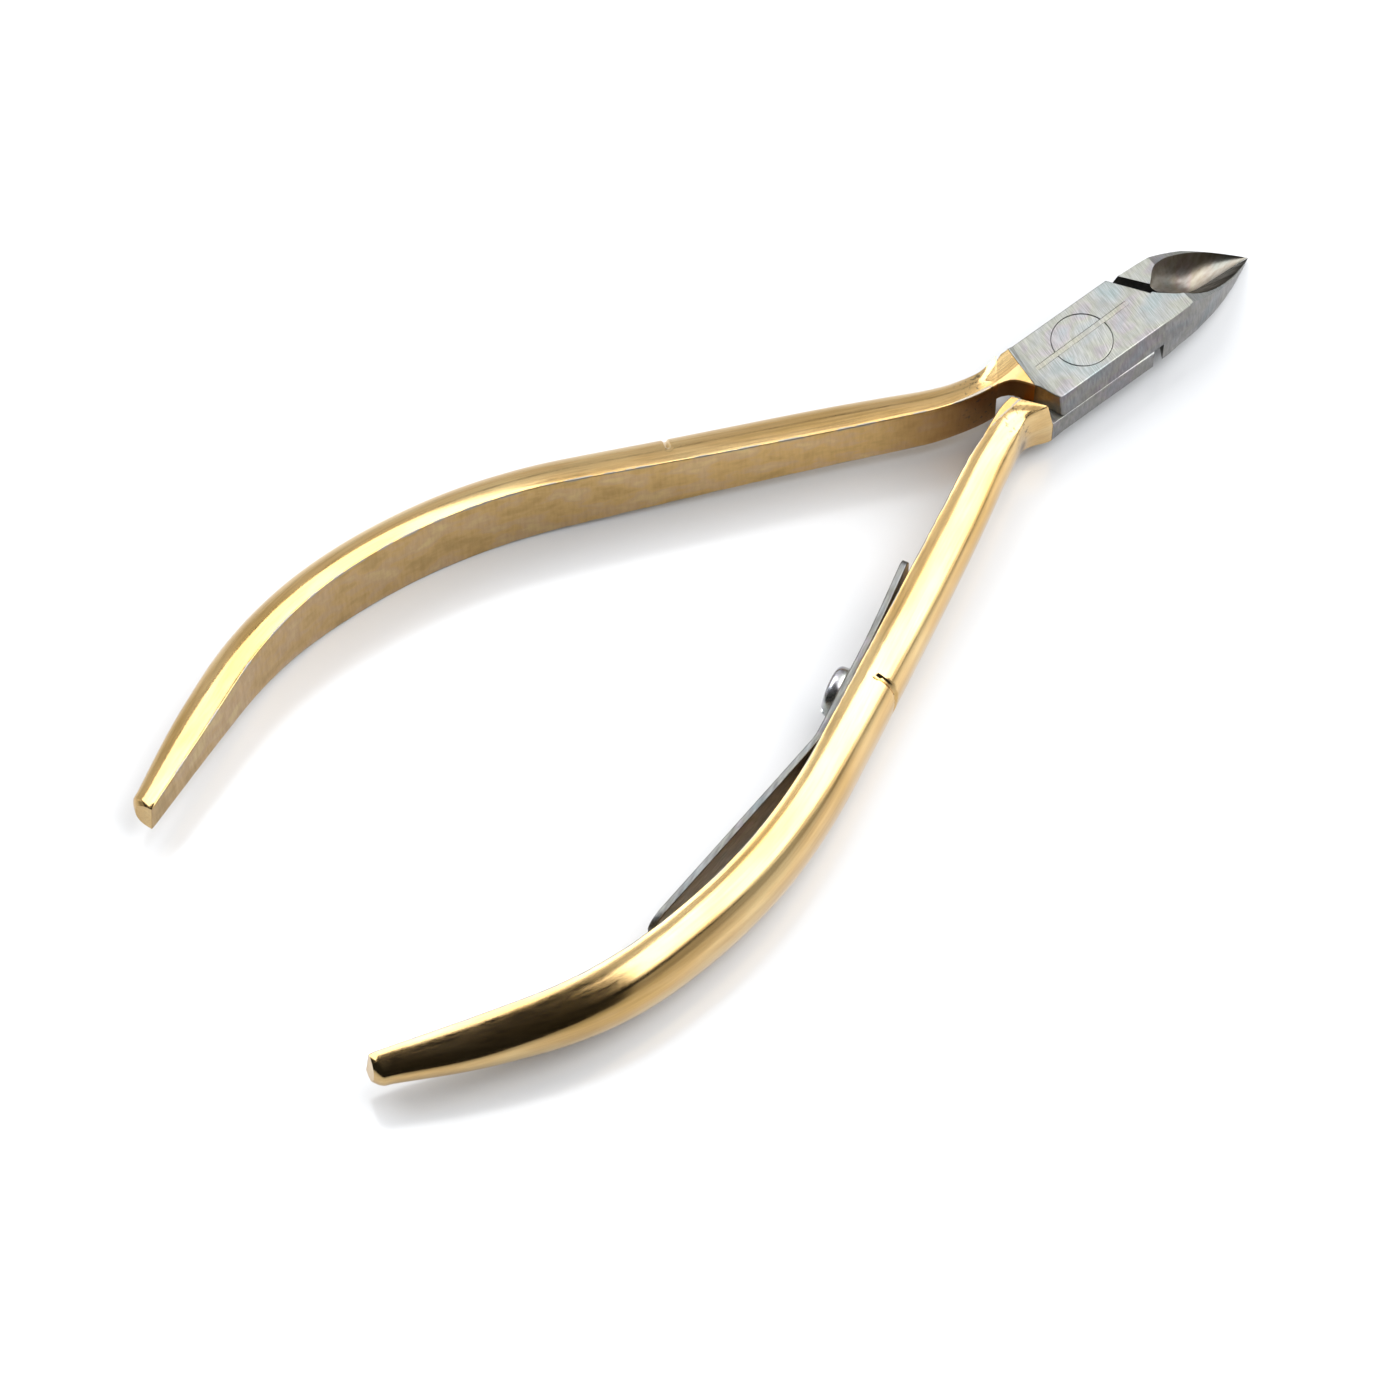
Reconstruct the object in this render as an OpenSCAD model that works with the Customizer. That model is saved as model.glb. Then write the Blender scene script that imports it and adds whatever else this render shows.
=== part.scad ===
// Cuticle nipper with a lap joint: two crossed levers, a flush rivet with its locking strip, and a leaf spring
// held to the lower lever's handle by one screw.
// Origin: on the pivot's axis, at the underside of the head. +X points to the jaws, +Z up, and the tool lies flat
// with its jaws shut. Each lever is drawn with its handle on the +Y side, and the lower one is mirrored.

/* [Head] */
// Full thickness of the head
head_h = 4.6; // [4.4:0.1:5]
// Height of the lap plane, where the two halves of the joint slide on each other
lap_z = 2.3; // [2:0.1:2.6]
// Half width of the head and the upper lever's jaw at the top face
head_top_y = 3.1; // [2.9:0.1:3.3]
// Half width of the lower lever's jaw at the top face
far_top_y = 2.75; // [2.6:0.05:3]
// Half width of the head from its underside up to the lap plane
head_side_y = 3.55; // [3.4:0.05:3.7]

/* [Jaws] */
// Distance from the pivot to the points of the jaws
tip_x = 18.7; // [18.2:0.1:19.2]
// How far the points dip below the underside of the head
tip_drop = 1.2; // [0.8:0.1:1.3]
// Distance from the pivot at which the top of the jaws starts to slope down
brow_x = 9.4; // [9.2:0.1:9.8]
// Half width of the two jaws together at their roots
jaw_y = 3.3; // [3.2:0.05:3.4]
// Gap left between the two cutting edges when the jaws are shut
bite_gap = 0.06; // [0.04:0.01:0.12]

/* [Handles] */
// Distance from the pivot to the ends of the handles
handle_reach = 83; // [81:0.5:84]
// Distance from the pivot to the widest place between the handles
bow_x = 61; // [60:0.5:62]
// Offset of a handle's flat inner face from the middle line at the widest place
bow_y = 19.9; // [19.6:0.1:20.2]
// Radius of the inner face from the widest place towards the joint
front_radius = 47; // [46:0.5:48]
// Radius of the inner face from the widest place towards the end
end_radius = 31; // [30:0.5:32]
// Angle of the straight stretch of a handle to the middle line
straight_angle = 25.6; // [25:0.1:26]
// Angle of the last stretch of a handle to the middle line
end_angle = 20.3; // [19:0.1:22]

/* [Pivot] */
// Radius of the rivet in the upper lever
rivet_r = 2.5; // [2.4:0.05:2.6]
// Radius of the rivet's bearing in the lower lever
bearing_r = 2; // [1.8:0.05:2.1]
// Radius of the rivet's closed foot, sunk in the lower lever
foot_r = 2.6; // [2.4:0.05:2.8]
// Height of the rivet's foot
foot_h = 0.8; // [0.6:0.05:1]
// Length of the locking strip along the head
strip_length = 10; // [9:0.5:10]
// Width of the locking strip
strip_w = 0.45; // [0.35:0.05:0.6]
// Depth of the locking strip in the upper lever
strip_h = 0.8; // [0.6:0.1:1]

/* [Spring] */
// Thickness of the spring's leaf
leaf_t = 0.55; // [0.45:0.05:0.65]
// Width of the spring's leaf
leaf_w = 5; // [4.6:0.1:5.2]
// Distance along the handle from the screw to the tail of the leaf
tail_reach = 12.2; // [11:0.2:13]
// Distance along the handle from the screw to the bend in the leaf
bend_reach = 5.4; // [5:0.1:6]
// Distance along the handle from the screw to the free end of the leaf
free_reach = 25.4; // [24.6:0.1:25.6]
// How far the free end stands off the line of the clamped stretch
free_rise = 5.12; // [5:0.02:5.4]
// Distance from the pivot to the spring's screw, along the middle line
screw_x = 35; // [34.5:0.1:36]
// Radius of the screw's domed head
screw_head_r = 2.1; // [1.9:0.05:2.3]
// Height of the screw's domed head
screw_head_h = 1.4; // [1:0.05:1.5]
// Radius of the screw's shank
screw_r = 1; // [0.9:0.05:1.1]
// Length of the screw's shank inside the handle
screw_depth = 2.6; // [2:0.1:2.8]

/* [Hidden] */
$fn = 96;
gold = [0.83, 0.66, 0.27];
steel = [0.64, 0.65, 0.67];
spring_steel = [0.27, 0.29, 0.31];
strip_metal = [0.66, 0.64, 0.52];
fit_gap = 0.01;
running_gap = 0.04;
lap_gap = 0.04;
face_gap = 0.05;
overlap = 0.5;
strip_shift = 0.3;
middle_z = head_h / 2;
tail_lift = 0.4;
clamp_reach = 2.5;
tail_round = 0.9;
free_taper = 0.28;
slot_w = 0.6;
slot_depth = 0.4;
dome_share = 0.8;

// The head in plan. The joint is cut on slanted lines, so that each half clears the other's shoulder.
rear_corner = [-4.9, -head_side_y];
rear_inner = [-7.1, 0.7];
wall_inner = [-8.1, 0.7];
wall_outer = [-6.1, head_side_y];
wall_top = [-6.2, head_top_y];
root_inner = [-8.8, 1.15];
root_waist = [-7.3, 3.2];
front_corner = [5, head_side_y];
front_inner = [7.3, -0.1];
shoulder_outer = [5.9, -head_side_y];
shoulder_inner = [7.9, -0.6];
brow_length = tip_x - brow_x;
brow_slope = (head_h + tip_drop) / brow_length;
shoulder_x = 5;
belly_x = 7;
bite_run = 0.3;
tip_edge = 0.05;
jaw_sides = 240;
jaw_arc_x = 8;
jaw_length = tip_x - jaw_arc_x;
jaw_radius = (jaw_length * jaw_length + jaw_y * jaw_y) / (2 * jaw_y);

// The hollow between the jaws: distance from the pivot, half width, and depth below the sloping brow.
hollow_rows = [
    [7.2, 0.9, 1.1],
    [9, 1.6, 1.3],
    [10.5, 2.15, 2.3],
    [12, 2.25, 2.8],
    [14, 1.95, 2.2],
    [16, 1.35, 1.25],
    [17.4, 0.65, 0.5],
    [18.6, 0.05, 0.04]
];
hollow_steps = 24;
hollow_sides = 24;
hollow_lid = 1.6;

// The section along a handle: distance behind the pivot, height, and depth behind the flat inner face.
section_rows = [
    [-83, 2.9, 2.2],
    [-76, 4.15, 3.2],
    [-68, 6.1, 3.5],
    [-60, 7.3, 3.55],
    [-52, 7.5, 3.55],
    [-44, 7.2, 3.5],
    [-36, 6.4, 3.5],
    [-28, 5.6, 3.5],
    [-20, 5.15, 3.45],
    [-12, 5.1, 2.9],
    [-9, 4.9, 2.5]
];
root_x = 9.5;
root_blend = 0.4;
handle_steps = 48;
section_sides = 14;
end_bevel = 0.9;
end_scale = 0.6;
mark_x = 32;
mark_depth = 0.35;

// The line of a handle's inner face: a straight end, two arcs that meet at the widest place, a straight stretch
// tangent to the front arc, and a curve that turns it along the head.
tail_x = -bow_x - end_radius * sin(end_angle);
tail_y = bow_y - end_radius * (1 - cos(end_angle));
straight_x = -bow_x + front_radius * sin(straight_angle);
straight_y = bow_y - front_radius * (1 - cos(straight_angle));
turn_x = -15;
turn_length = 7.5;
turn_gain = tan(straight_angle) / (2 * turn_length);
function arc_drop(r, d) = r - sqrt(r * r - d * d);
function straight_line(x) = straight_y - (x - straight_x) * tan(straight_angle);
function inner_y(x) =
    x > turn_x ? straight_line(x) + turn_gain * (x - turn_x) * (x - turn_x)
    : x > straight_x ? straight_line(x)
    : x > tail_x ? bow_y - arc_drop(x > -bow_x ? front_radius : end_radius, x + bow_x)
    : tail_y - (tail_x - x) * tan(end_angle);
function inner_slope(x) = (inner_y(x + 0.05) - inner_y(x - 0.05)) / 0.1;

// A smooth curve through column k of a table, at x.
function row_slope(rows, i, k) = let(a = max(i - 1, 0), b = min(i + 1, len(rows) - 1))
    (rows[b][k] - rows[a][k]) / (rows[b][0] - rows[a][0]);
function row_before(rows, x, i = 0) = i > len(rows) - 3 || x <= rows[i + 1][0] ? i : row_before(rows, x, i + 1);
function along(rows, x, k) =
    let(
        i = row_before(rows, x),
        step = rows[i + 1][0] - rows[i][0],
        t = (x - rows[i][0]) / step,
        rise = 3 * t * t - 2 * t * t * t
    )
    rows[i][k] * (1 - rise) + rows[i + 1][k] * rise
        + step * row_slope(rows, i, k) * (t - 2 * t * t + t * t * t)
        + step * row_slope(rows, i + 1, k) * (t * t * t - t * t);

// Faces of a tube of rings with n points each, closed at both ends.
function tube_faces(rings, n) = concat(
    [[for (j = [0 : n - 1]) j]],
    [for (i = [0 : rings - 2], j = [0 : n - 1]) [i * n + j, (i + 1) * n + j, i * n + (j + 1) % n]],
    [for (i = [0 : rings - 2], j = [0 : n - 1])
        [i * n + (j + 1) % n, (i + 1) * n + j, (i + 1) * n + (j + 1) % n]],
    [[for (j = [n - 1 : -1 : 0]) (rings - 1) * n + j]]
);

// One D-shaped ring of a handle, shrunk about its own middle by the given factor.
function handle_ring(x, section_x, factor) =
    let(
        slope = inner_slope(section_x),
        out = [-slope, 1] / norm([slope, 1]),
        height = along(section_rows, section_x, 1) * factor,
        depth = along(section_rows, section_x, 2),
        shift = depth * (1 - factor) / 2
    )
    [for (j = [0 : section_sides])
        let(turn = -90 + 180 * j / section_sides, d = shift + depth * factor * cos(turn))
        [x + out[0] * d, inner_y(x) + out[1] * d, middle_z + height / 2 * sin(turn)]];

module handle() {
    xs = [for (i = [0 : handle_steps]) -handle_reach + (handle_reach - root_x) * i / handle_steps];
    rings = concat(
        [handle_ring(-handle_reach - end_bevel, -handle_reach, end_scale)],
        [for (x = xs) handle_ring(x, x, 1)]
    );
    polyhedron(
        points = [for (ring = rings) each ring],
        faces = tube_faces(len(rings), section_sides + 1)
    );
}

// A fine file mark across the back of each handle.
module file_mark() {
    x = -mark_x;
    depth = along(section_rows, x, 2);
    translate([x, inner_y(x), middle_z])
        rotate([0, 0, -straight_angle])
            translate([0, depth, 0])
                rotate([0, 0, 45])
                    cube([mark_depth * sqrt(2), mark_depth * sqrt(2), head_h * 2], center = true);
}

// The blend from the D-shaped handle to the square, waisted root of the head.
module root() {
    hull() {
        polyhedron(
            points = concat(
                handle_ring(-root_x - root_blend, -root_x - root_blend, 1),
                handle_ring(-root_x, -root_x, 1)
            ),
            faces = tube_faces(2, section_sides + 1)
        );
        linear_extrude(lap_z)
            polygon([wall_inner, wall_outer, root_waist, root_inner]);
        linear_extrude(head_h)
            polygon([wall_inner, wall_top, root_waist, root_inner]);
    }
}

// Cross-section of the head: straight sides below the lap plane, leaning in above it.
module head_envelope(top_y) {
    rotate([90, 0, 90])
        translate([0, 0, -root_x])
            linear_extrude(root_x + tip_x)
                polygon([
                    [-head_side_y, -tip_drop - overlap],
                    [-head_side_y, lap_z],
                    [-top_y, head_h],
                    [top_y, head_h],
                    [head_side_y, lap_z],
                    [head_side_y, -tip_drop - overlap]
                ]);
}

// One half of the lap joint, between two heights.
module lap_plate(low, high) {
    translate([0, 0, low])
        linear_extrude(high - low)
            polygon([
                rear_corner, rear_inner, root_inner, root_waist, wall_outer, front_corner, front_inner,
                [shoulder_inner[0], -bite_gap / 2], [brow_x, -bite_gap / 2], [brow_x, -head_side_y]
            ]);
}

// One jaw. Its side is an arc to the point, its brow slopes down, and its belly dips to the point.
module jaw() {
    intersection() {
        translate([0, 0, -tip_drop - overlap])
            linear_extrude(head_h + tip_drop + 2 * overlap)
                intersection() {
                    translate([jaw_arc_x, jaw_radius - jaw_y])
                        circle(jaw_radius, $fn = jaw_sides);
                    polygon([
                        shoulder_outer, shoulder_inner, [shoulder_inner[0] + bite_run, -bite_gap / 2],
                        [tip_x, -bite_gap / 2], [tip_x, -head_side_y]
                    ]);
                }
        rotate([90, 0, 0])
            linear_extrude(head_side_y + overlap)
                polygon([
                    [shoulder_x, 0], [belly_x, 0], [tip_x, -tip_drop], [tip_x, tip_edge - tip_drop],
                    [brow_x, head_h], [shoulder_x, head_h]
                ]);
    }
}

// The spoon-shaped hollow ground out of both jaws above the cutting edges.
function hollow_ring(x) =
    let(top = head_h - (x - brow_x) * brow_slope, w = along(hollow_rows, x, 1), d = along(hollow_rows, x, 2))
    [for (j = [0 : hollow_sides - 1])
        let(turn = 360 * j / hollow_sides)
        [x, w * cos(turn), top + d * sin(turn) * (turn > 180 ? 1 : hollow_lid)]];

module hollow() {
    first = hollow_rows[0][0];
    last = hollow_rows[len(hollow_rows) - 1][0];
    rings = [for (i = [0 : hollow_steps]) hollow_ring(first + (last - first) * i / hollow_steps)];
    polyhedron(
        points = [for (ring = rings) each ring],
        faces = tube_faces(len(rings), hollow_sides)
    );
}

// The bare steel half of a lever: its plate and its jaw.
module head(low, high, top_y) {
    difference() {
        intersection() {
            union() {
                lap_plate(low, high);
                jaw();
            }
            head_envelope(top_y);
        }
        hollow();
        children();
    }
}

// The locking strip, or its groove when it is grown by a gap and left open at the top.
module strip_shape(grow) {
    end_r = strip_w / 2 + grow;
    straight = strip_length - strip_w;
    open_h = grow > 0 ? overlap : 0;
    translate([strip_shift, strip_shift, head_h - strip_h - grow])
        linear_extrude(strip_h + grow + open_h) {
            square([straight, end_r * 2], center = true);
            translate([-straight / 2, 0])
                circle(end_r);
            translate([straight / 2, 0])
                circle(end_r);
        }
}

module upper_lever() {
    color(gold) {
        difference() {
            union() {
                handle();
                root();
            }
            file_mark();
        }
    }
    color(steel)
        head(lap_z + lap_gap / 2, head_h, head_top_y) {
            translate([0, 0, -overlap])
                cylinder(r = rivet_r + fit_gap, h = head_h + 2 * overlap);
            strip_shape(fit_gap);
        }
}

// Places a child at the spring's screw: +X along the handle to the joint, +Z off the handle's inner face.
module at_screw() {
    translate([-screw_x, inner_y(-screw_x), middle_z])
        rotate([0, 0, -straight_angle])
            rotate([90, 0, 0])
                children();
}

module lower_lever() {
    mirror([0, 1, 0]) {
        color(gold) {
            difference() {
                union() {
                    handle();
                    root();
                }
                file_mark();
                at_screw()
                    translate([0, 0, -screw_depth - 2 * fit_gap])
                        cylinder(r = screw_r + fit_gap, h = screw_depth + overlap);
            }
        }
        color(steel)
            head(0, lap_z - lap_gap / 2, far_top_y) {
                translate([0, 0, -overlap])
                    cylinder(r = bearing_r + running_gap, h = head_h + 2 * overlap);
                translate([0, 0, -overlap])
                    cylinder(r = foot_r + running_gap, h = foot_h + running_gap + overlap);
            }
    }
}

module pivot_rivet() {
    color(steel)
        difference() {
            union() {
                cylinder(r = foot_r, h = foot_h);
                cylinder(r = bearing_r, h = head_h);
                translate([0, 0, lap_z + lap_gap / 2])
                    cylinder(r = rivet_r, h = head_h - lap_z - lap_gap / 2);
            }
            strip_shape(fit_gap);
        }
}

module lock_strip() {
    color(strip_metal)
        strip_shape(0);
}

// The leaf's edge: a lifted tail, the clamped stretch, then a bend to the free end.
module leaf_edge() {
    free_slope = free_rise / (free_reach - bend_reach);
    near = [
        [tail_reach + overlap, face_gap + tail_lift],
        [clamp_reach, face_gap],
        [-bend_reach, face_gap],
        [-free_reach - overlap, face_gap + free_rise + free_slope * overlap]
    ];
    far = [for (i = [len(near) - 1 : -1 : 0]) near[i] + [0, leaf_t]];
    polygon(concat(near, far));
}

// The leaf's face: a square tail with small corner rounds, and a free end that narrows.
module leaf_face() {
    half_w = leaf_w / 2;
    free_r = leaf_w * free_taper;
    difference() {
        union() {
            polygon([
                [tail_reach - tail_round, -half_w], [tail_reach, -half_w + tail_round],
                [tail_reach, half_w - tail_round], [tail_reach - tail_round, half_w], [-bend_reach, half_w],
                [-free_reach + free_r, free_r], [-free_reach + free_r, -free_r], [-bend_reach, -half_w]
            ]);
            for (side = [-1, 1])
                translate([tail_reach - tail_round, side * (half_w - tail_round)])
                    circle(tail_round);
            translate([-free_reach + free_r, 0])
                circle(free_r);
        }
        circle(screw_r + running_gap);
    }
}

module leaf_spring() {
    color(spring_steel)
        mirror([0, 1, 0])
            at_screw()
                intersection() {
                    rotate([90, 0, 0])
                        translate([0, 0, -leaf_w])
                            linear_extrude(leaf_w * 2)
                                leaf_edge();
                    translate([0, 0, -overlap])
                        linear_extrude(free_rise * 2)
                            leaf_face();
                }
}

module spring_screw() {
    seat = face_gap + leaf_t + face_gap;
    dome_r = (screw_head_r * screw_head_r + screw_head_h * screw_head_h) / (2 * screw_head_h) * dome_share;
    color(steel)
        mirror([0, 1, 0])
            at_screw()
                difference() {
                    union() {
                        translate([0, 0, -screw_depth])
                            cylinder(r = screw_r, h = screw_depth + seat + overlap / 2);
                        translate([0, 0, seat])
                            intersection() {
                                cylinder(r = screw_head_r, h = screw_head_h);
                                translate([0, 0, screw_head_h - dome_r])
                                    sphere(dome_r);
                            }
                    }
                    translate([0, 0, seat + screw_head_h])
                        cube([screw_head_r * 3, slot_w, slot_depth * 2], center = true);
                }
}

upper_lever();
lower_lever();
pivot_rivet();
lock_strip();
leaf_spring();
spring_screw();
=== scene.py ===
import math

import bmesh
import bpy
from mathutils import Matrix, Vector, noise


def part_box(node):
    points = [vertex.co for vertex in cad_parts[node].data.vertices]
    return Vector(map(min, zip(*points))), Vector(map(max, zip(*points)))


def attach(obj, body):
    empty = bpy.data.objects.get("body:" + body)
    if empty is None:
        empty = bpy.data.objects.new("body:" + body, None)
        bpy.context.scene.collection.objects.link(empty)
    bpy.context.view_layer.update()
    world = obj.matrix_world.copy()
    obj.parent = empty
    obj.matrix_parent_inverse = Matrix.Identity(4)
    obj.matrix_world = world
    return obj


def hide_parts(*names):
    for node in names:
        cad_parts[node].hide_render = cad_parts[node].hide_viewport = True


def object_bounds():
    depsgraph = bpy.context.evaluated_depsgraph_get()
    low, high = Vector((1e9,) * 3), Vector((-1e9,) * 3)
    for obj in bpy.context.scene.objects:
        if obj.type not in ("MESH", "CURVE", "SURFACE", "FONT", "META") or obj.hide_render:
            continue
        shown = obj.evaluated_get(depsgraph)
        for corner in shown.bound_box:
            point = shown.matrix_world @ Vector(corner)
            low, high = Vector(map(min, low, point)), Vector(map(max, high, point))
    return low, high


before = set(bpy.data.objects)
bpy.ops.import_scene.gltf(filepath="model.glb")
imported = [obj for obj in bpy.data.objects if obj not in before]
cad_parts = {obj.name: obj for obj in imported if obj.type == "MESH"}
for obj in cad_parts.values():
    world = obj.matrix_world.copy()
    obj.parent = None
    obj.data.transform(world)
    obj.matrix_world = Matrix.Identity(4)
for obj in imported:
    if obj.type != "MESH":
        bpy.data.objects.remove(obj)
cad_low, cad_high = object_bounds()

# ---------------------------------------------------------------------------
# The two handles.
# Drop-forged steel, one piece with the head, filed to a D section with a flat
# inner face, bent to a bow, buffed along their length and gold plated.
# ---------------------------------------------------------------------------
# Sizes in this file are in millimetres, measured from the pivot's axis and the head's underside.
MM = 0.001
# The head: height of the lap plane, half the play between the plates, the flat top, and
# half the head's width at the lap and at the top. The plating stands GROUND_STEP proud of the grinding.
LAP_Z, LAP_GAP = 2.3, 0.03
HEAD_TOP = 4.6
SIDE_Y, TOP_Y = 3.55, 3.1
GROUND_STEP = 0.22

# The bow: its widest place, and the two arcs and two straights that the inner face follows.
HANDLE_END, END_BEVEL = 83.0, 0.9
BOW_X, BOW_Y = 61.0, 19.9
FRONT_RADIUS, REAR_RADIUS = 47.0, 31.0
FRONT_ANGLE, REAR_ANGLE = math.radians(25.6), math.radians(20.3)
TURN_X, TURN_LENGTH = -15.0, 7.5
REAR_X = -BOW_X - REAR_RADIUS * math.sin(REAR_ANGLE)
REAR_Y = BOW_Y - REAR_RADIUS * (1 - math.cos(REAR_ANGLE))
FRONT_X = -BOW_X + FRONT_RADIUS * math.sin(FRONT_ANGLE)
FRONT_Y = BOW_Y - FRONT_RADIUS * (1 - math.cos(FRONT_ANGLE))


def inner_y(x):
    """Distance of a handle's flat inner face from the middle line."""
    if x < REAR_X:
        return REAR_Y - (REAR_X - x) * math.tan(REAR_ANGLE)
    if x < FRONT_X:
        radius = REAR_RADIUS if x < -BOW_X else FRONT_RADIUS
        return BOW_Y - radius + math.sqrt(radius ** 2 - (x + BOW_X) ** 2)
    y = FRONT_Y - (x - FRONT_X) * math.tan(FRONT_ANGLE)
    if x > TURN_X:
        y += math.tan(FRONT_ANGLE) / (2 * TURN_LENGTH) * (x - TURN_X) ** 2
    return y


def inner_slope(x):
    return (inner_y(x + 0.05) - inner_y(x - 0.05)) / 0.1


def along(rows, x, k):
    """Column k of a table, followed smoothly between its rows."""
    i = 0
    while i < len(rows) - 2 and x > rows[i + 1][0]:
        i += 1

    def slope(j):
        a, b = max(j - 1, 0), min(j + 1, len(rows) - 1)
        return (rows[b][k] - rows[a][k]) / (rows[b][0] - rows[a][0])

    step = rows[i + 1][0] - rows[i][0]
    t = (x - rows[i][0]) / step
    rise = 3 * t * t - 2 * t ** 3
    return (
        rows[i][k] * (1 - rise) + rows[i + 1][k] * rise
        + step * slope(i) * (t - 2 * t * t + t ** 3)
        + step * slope(i + 1) * (t ** 3 - t * t)
    )


def smooth(t):
    t = min(max(t, 0.0), 1.0)
    return t * t * (3 - 2 * t)


# Distance behind the pivot, height of the section, depth behind the inner face.
SECTIONS = [
    (-83, 2.9, 2.2), (-76, 4.15, 3.2), (-68, 6.1, 3.5), (-60, 7.3, 3.55), (-52, 7.45, 3.55),
    (-44, 7.2, 3.5), (-36, 6.4, 3.5), (-28, 5.6, 3.5), (-20, 5.15, 3.4), (-14, 5.1, 3.05),
    (-11, 5.0, 2.7), (-8.6, 4.9, 2.3), (-8, 4.9, 2.25),
]
FLAT_POINTS = 11
CORNER_POINTS = 6
BACK_POINTS = 64
BACK_SQUARE = 0.87
EDGE_ROUND = 0.13
BLOCK_ROUND = 0.1


def corner_arc(cx, cy, radius, start, stop, count):
    return [
        (
            cx + radius * math.cos(math.radians(start + (stop - start) * i / (count - 1))),
            cy + radius * math.sin(math.radians(start + (stop - start) * i / (count - 1))),
        )
        for i in range(count)
    ]


def flat_face(low, high):
    """The section's straight stretch up the inner face, between its two broken edges."""
    r = EDGE_ROUND
    return [(0.0, low + r + (high - low - 2 * r) * i / (FLAT_POINTS - 1)) for i in range(FLAT_POINTS)]


def d_section(height, depth):
    """The handle's section: a flat inner face with broken edges, and a rounded back."""
    half = height / 2
    r = EDGE_ROUND
    points = flat_face(-half, half)
    points += corner_arc(r, half - r, r, 180, 90, CORNER_POINTS + 1)[1:]
    for i in range(1, BACK_POINTS):
        turn = math.pi * i / BACK_POINTS
        rise = math.cos(turn)
        back = math.sin(turn) ** BACK_SQUARE
        points.append((r + (depth - r) * back, half * math.copysign(abs(rise) ** BACK_SQUARE, rise)))
    points += corner_arc(r, -half + r, r, 270, 180, CORNER_POINTS + 1)[:-1]
    return points


def block_section(width, low, high):
    """The root's section: a block, upright below the lap plane and leaning in above it."""
    r = EDGE_ROUND
    lean = (SIDE_Y - TOP_Y) * (high - LAP_Z) / (HEAD_TOP - LAP_Z)
    points = flat_face(low, high)
    points += corner_arc(r, high - r, r, 180, 90, CORNER_POINTS + 1)[1:]
    c = BLOCK_ROUND
    outline = [
        (r, high), (width - lean - c, high), (width - lean, high - c), (width, LAP_Z),
        (width, low + c), (width - c, low), (r, low),
    ]
    # Where along the back's points each corner of the block falls.
    shares = [0, 20, 22, 32, 42, 44, BACK_POINTS]
    for i in range(1, BACK_POINTS):
        k = max(j for j in range(len(shares) - 1) if shares[j] <= i)
        t = (i - shares[k]) / (shares[k + 1] - shares[k])
        a, b = outline[k], outline[k + 1]
        points.append((a[0] + (b[0] - a[0]) * t, a[1] + (b[1] - a[1]) * t))
    points += corner_arc(r, low + r, r, 270, 180, CORNER_POINTS + 1)[:-1]
    return [(d, z - LAP_Z) for d, z in points]


def loft(rings):
    """Vertices and faces of a skin over rings of equal length, closed at both ends."""
    n = len(rings[0])
    points = [p for ring in rings for p in ring]
    faces = [
        (i * n + j, (i + 1) * n + j, (i + 1) * n + (j + 1) % n, i * n + (j + 1) % n)
        for i in range(len(rings) - 1)
        for j in range(n)
    ]
    faces.append(tuple(range(n)))
    faces.append(tuple((len(rings) - 1) * n + j for j in range(n - 1, -1, -1)))
    return points, faces


def solid(name, points, faces, mirrored=False):
    """A closed mesh from points in millimetres, its faces turned outwards."""
    mesh = bpy.data.meshes.new(name)
    side = -1 if mirrored else 1
    mesh.from_pydata([(p[0] * MM, side * p[1] * MM, p[2] * MM) for p in points], [], faces)
    shape = bmesh.new()
    shape.from_mesh(mesh)
    bmesh.ops.remove_doubles(shape, verts=shape.verts, dist=1e-7)
    bmesh.ops.recalc_face_normals(shape, faces=shape.faces)
    shape.to_mesh(mesh)
    shape.free()
    piece = bpy.data.objects.new(name, mesh)
    bpy.context.scene.collection.objects.link(piece)
    return piece


SLIVER = 0.001 * MM


def combine(piece, tool, operation):
    """Joins a tool to a piece, or cuts it away, and removes the tool."""
    step = piece.modifiers.new(operation, "BOOLEAN")
    step.operation = operation
    step.solver = "EXACT"
    step.object = tool
    bpy.context.view_layer.update()
    depsgraph = bpy.context.evaluated_depsgraph_get()
    made = bpy.data.meshes.new_from_object(piece.evaluated_get(depsgraph))
    piece.modifiers.remove(step)
    made.name = piece.name
    piece.data = made
    bpy.data.objects.remove(tool)


def soften(piece, angle):
    """Clears the slivers that cuts leave, and shades a piece smooth except over sharper edges."""
    shape = bmesh.new()
    shape.from_mesh(piece.data)
    bmesh.ops.triangulate(shape, faces=[face for face in shape.faces if len(face.verts) > 4])
    bmesh.ops.remove_doubles(shape, verts=shape.verts, dist=SLIVER)
    bmesh.ops.dissolve_degenerate(shape, edges=shape.edges, dist=SLIVER / 4)
    alike = {}
    for face in shape.faces:
        alike.setdefault(frozenset(face.verts), []).append(face)
    folded = [face for faces in alike.values() if len(faces) > 1 for face in faces]
    bmesh.ops.delete(shape, geom=folded, context="FACES")
    shape.to_mesh(piece.data)
    shape.free()
    piece.data.shade_smooth()
    piece.data.set_sharp_from_angle(angle=math.radians(angle))


END_RINGS = 9
END_THINNER, END_LOWER = 0.29, 0.12
END_LEAN = 0.13


def handle_ring(x, section):
    """A section stood on the inner face at x, square to it."""
    out = Vector((-inner_slope(x), 1.0)).normalized()
    return [(x + out.x * d, inner_y(x) + out.y * d, LAP_Z + w) for d, w in section]


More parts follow.
